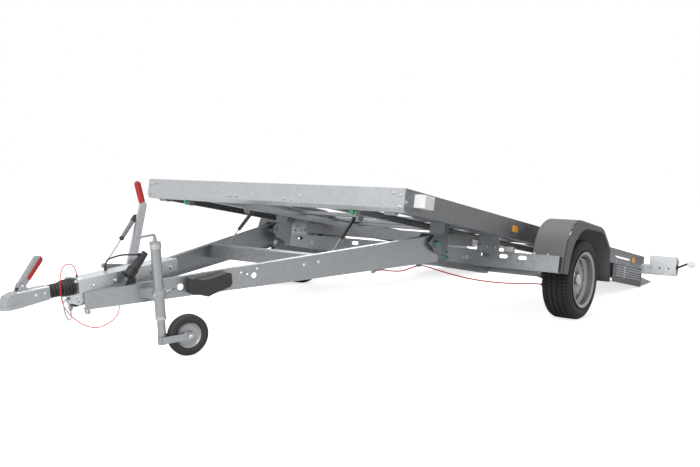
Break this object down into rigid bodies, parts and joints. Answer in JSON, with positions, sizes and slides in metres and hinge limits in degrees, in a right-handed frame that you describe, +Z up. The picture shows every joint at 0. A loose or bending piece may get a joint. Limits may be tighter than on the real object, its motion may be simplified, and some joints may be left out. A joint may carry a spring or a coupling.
{
  "type": "tilt car trailer",
  "caption": "Single-axle tilt car trailer shown tipped for loading, with wheel tracks, a hinged V drawbar, overrun coupling, jockey wheel and handbrake.",
  "frame": {"origin": "ground level, under the middle of the trailer's whole length and width", "axes": "+X to the rear, +Y to the trailer's right, +Z up"},
  "size_m": [5.7594, 2.868, 0.8338],
  "materials": {
    "galvanised_steel": "bright galvanised",
    "fender_plastic": "satin grey",
    "tyre_rubber": "tread and sidewall",
    "rim_paint": "silver grey",
    "black_rubber": "matt",
    "lamp_red": "ribbed lens",
    "lamp_clear": "clear ribbed lens",
    "reflector_orange": "reflector",
    "black_plastic": "moulded",
    "red_grip": "moulded grip",
    "black_paint": "satin black",
    "bright_rod": "polished",
    "red_sheath": "cable sheath"
  },
  "bodies": {
    "platform": {"side_rails": "galvanised_steel", "front_panel": "galvanised_steel", "tracks": "galvanised_steel", "track_beams": "galvanised_steel", "deck_cross_members": "galvanised_steel", "support_beam": "galvanised_steel", "beam_brackets": "galvanised_steel", "fender_beam": "galvanised_steel", "hinge_posts": "galvanised_steel", "chassis_rails": "galvanised_steel", "axle": "galvanised_steel", "axle_hangers": "galvanised_steel", "swing_arms": "galvanised_steel", "fenders": "fender_plastic", "tail_ramps": "galvanised_steel", "tail_frame": "galvanised_steel", "loading_lips": "galvanised_steel", "lamp_brackets": "galvanised_steel", "rear_lamps": "lamp_red", "marker_arms": "black_rubber", "marker_lenses": "lamp_clear", "front_markers": "lamp_clear", "side_reflectors": "reflector_orange", "fender_stays": "galvanised_steel", "brake_cable_rear": "red_sheath"},
    "wheel_left": {"tyre_left": "tyre_rubber", "rim_left": "rim_paint"},
    "wheel_right": {"tyre_right": "tyre_rubber", "rim_right": "rim_paint"},
    "drawbar": {"drawbar_beam_left": "galvanised_steel", "drawbar_beam_right": "galvanised_steel", "drawbar_cross_member": "galvanised_steel", "overrun_housing": "galvanised_steel", "gaiter": "black_rubber", "jockey_clamp": "galvanised_steel", "jockey_outer_tube": "galvanised_steel", "handbrake_bracket": "galvanised_steel", "wheel_chock": "black_plastic", "plug": "black_plastic", "plug_holder": "black_plastic", "plug_cable": "black_rubber", "breakaway_cable": "red_sheath", "brake_cable_front": "red_sheath"},
    "coupling": {"overrun_shaft": "galvanised_steel", "coupling_head": "galvanised_steel"},
    "coupling_handle": {"coupling_handle": "galvanised_steel"},
    "jockey_stem": {"jockey_inner_tube": "galvanised_steel"},
    "jockey_swivel": {"jockey_fork": "galvanised_steel", "jockey_swivel_pin": "galvanised_steel"},
    "jockey_wheel": {"jockey_rim": "rim_paint", "jockey_tyre": "black_rubber"},
    "jockey_crank": {"jockey_crank": "galvanised_steel"},
    "handbrake": {"handbrake_lever": "galvanised_steel", "brake_grip": "red_grip"},
    "lever_strut_cylinder": {"lever_strut_cylinder": "black_paint"},
    "lever_strut_rod": {"lever_strut_rod": "bright_rod"},
    "strut_cylinder_left": {"strut_cylinder_left": "black_paint"},
    "strut_cylinder_right": {"strut_cylinder_right": "black_paint"},
    "strut_rod_left": {"strut_rod_left": "bright_rod"},
    "strut_rod_right": {"strut_rod_right": "bright_rod"}
  },
  "joints": [
    {"name": "wheel_left_spin", "type": "hinge", "parent": "platform", "child": "wheel_left", "pos_m": [0.41472, -1.1815, 0.2625], "axis": [0, 1, 0], "continuous": true},
    {"name": "wheel_right_spin", "type": "hinge", "parent": "platform", "child": "wheel_right", "pos_m": [0.41472, 1.1815, 0.2625], "axis": [0, 1, 0], "continuous": true},
    {"name": "drawbar_hinge", "type": "hinge", "parent": "platform", "child": "drawbar", "pos_m": [-0.50331, 0, 0.50227], "axis": [0, 1, 0], "range_deg": [0, 14.75]},
    {"name": "overrun_slide", "type": "slide", "parent": "drawbar", "child": "coupling", "axis": [0.9936, 0, 0.1127], "range_m": [0, 0.08]},
    {"name": "coupling_handle_hinge", "type": "hinge", "parent": "coupling", "child": "coupling_handle", "pos_m": [-2.78155, 0, 0.36669], "axis": [0, -1, 0], "range_deg": [0, 35]},
    {"name": "jockey_slide", "type": "slide", "parent": "drawbar", "child": "jockey_stem", "axis": [-0.1127, 0, 0.9936], "range_m": [0, 0.075]},
    {"name": "jockey_swivel", "type": "hinge", "parent": "jockey_stem", "child": "jockey_swivel", "pos_m": [-2.21543, -0.24, 0.20243], "axis": [-0.1127, 0, 0.9936], "continuous": true},
    {"name": "jockey_wheel_spin", "type": "hinge", "parent": "jockey_swivel", "child": "jockey_wheel", "pos_m": [-2.08375, -0.28344, 0.10036], "axis": [0.3398, 0.9397, 0.0385], "continuous": true},
    {"name": "jockey_crank_spin", "type": "hinge", "parent": "drawbar", "child": "jockey_crank", "pos_m": [-2.24924, -0.24, 0.50052], "axis": [-0.1127, 0, 0.9936], "continuous": true},
    {"name": "handbrake_pull", "type": "hinge", "parent": "drawbar", "child": "handbrake", "pos_m": [-2.11562, 0.114, 0.40497], "axis": [0, -1, 0], "range_deg": [0, 40]},
    {"name": "lever_strut_pivot", "type": "hinge", "parent": "handbrake", "child": "lever_strut_cylinder", "pos_m": [-2.07652, 0.134, 0.64591], "axis": [0, 1, 0], "range_deg": [-0.5, 9.4]},
    {"name": "lever_strut_slide", "type": "slide", "parent": "lever_strut_cylinder", "child": "lever_strut_rod", "axis": [-0.6137, 0, -0.7895], "range_m": [-0.09313, 0.001]},
    {"name": "strut_pivot_left", "type": "hinge", "parent": "platform", "child": "strut_cylinder_left", "pos_m": [-0.94672, -0.408, 0.64262], "axis": [0, 1, 0], "range_deg": [-0.5, 30.31]},
    {"name": "strut_slide_left", "type": "slide", "parent": "strut_cylinder_left", "child": "strut_rod_left", "axis": [-0.7317, 0, -0.6816], "range_m": [-0.08974, 0.001]},
    {"name": "strut_pivot_right", "type": "hinge", "parent": "platform", "child": "strut_cylinder_right", "pos_m": [-0.94672, 0.408, 0.64262], "axis": [0, 1, 0], "range_deg": [-0.5, 30.31]},
    {"name": "strut_slide_right", "type": "slide", "parent": "strut_cylinder_right", "child": "strut_rod_right", "axis": [-0.7317, 0, -0.6816], "range_m": [-0.08974, 0.001]}
  ],
  "couplings": [
    {"joint": "lever_strut_pivot", "follows": "handbrake_pull", "ratio": 0.22258},
    {"joint": "lever_strut_slide", "follows": "handbrake_pull", "m_per_rad": -0.13197},
    {"joint": "strut_pivot_left", "follows": "drawbar_hinge", "ratio": 2.0202},
    {"joint": "strut_slide_left", "follows": "drawbar_hinge", "m_per_rad": -0.3446},
    {"joint": "strut_pivot_right", "follows": "drawbar_hinge", "ratio": 2.0202},
    {"joint": "strut_slide_right", "follows": "drawbar_hinge", "m_per_rad": -0.3446}
  ]
}
